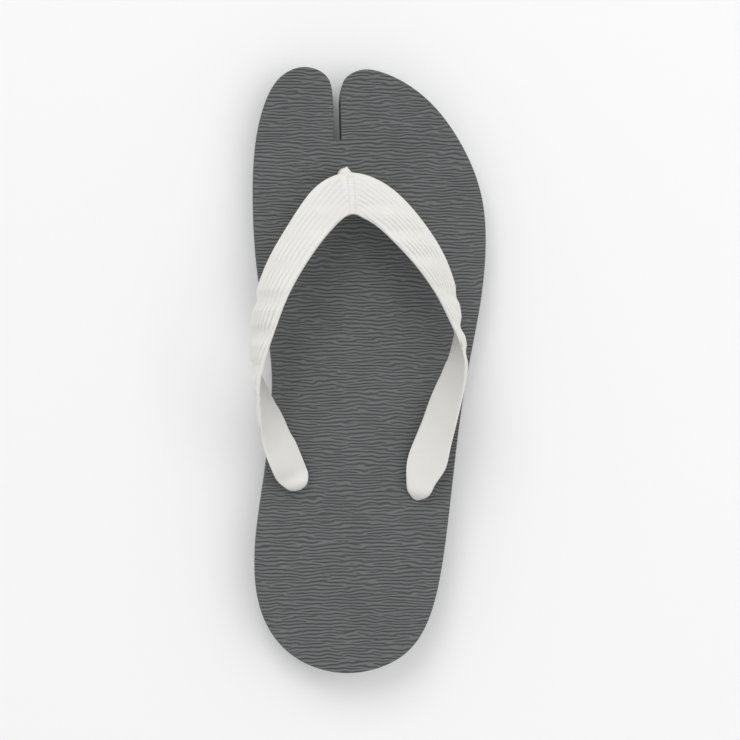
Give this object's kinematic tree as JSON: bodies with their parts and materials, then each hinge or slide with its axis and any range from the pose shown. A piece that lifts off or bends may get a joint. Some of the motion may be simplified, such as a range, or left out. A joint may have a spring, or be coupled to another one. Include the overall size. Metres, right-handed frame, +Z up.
{
  "type": "tabi sandal",
  "caption": "Right-foot thong sandal with a split toe: flat sponge-rubber sole and a moulded rubber V strap on a toe post and two rear stems.",
  "frame": {"origin": "On the floor under the middle of the sandal's length and width.", "axes": "+X towards the little toe, +Y towards the toes, +Z up. The sole stands on z = 0."},
  "size_m": [0.104, 0.265, 0.0509],
  "materials": {
    "sole": "matt sponge rubber with a fine wavy ripple",
    "strap": "moulded rubber, satin, ribbed outside and smooth inside"
  },
  "bodies": {
    "root": {"sole": "sole", "strap": "strap"}
  },
  "joints": []
}
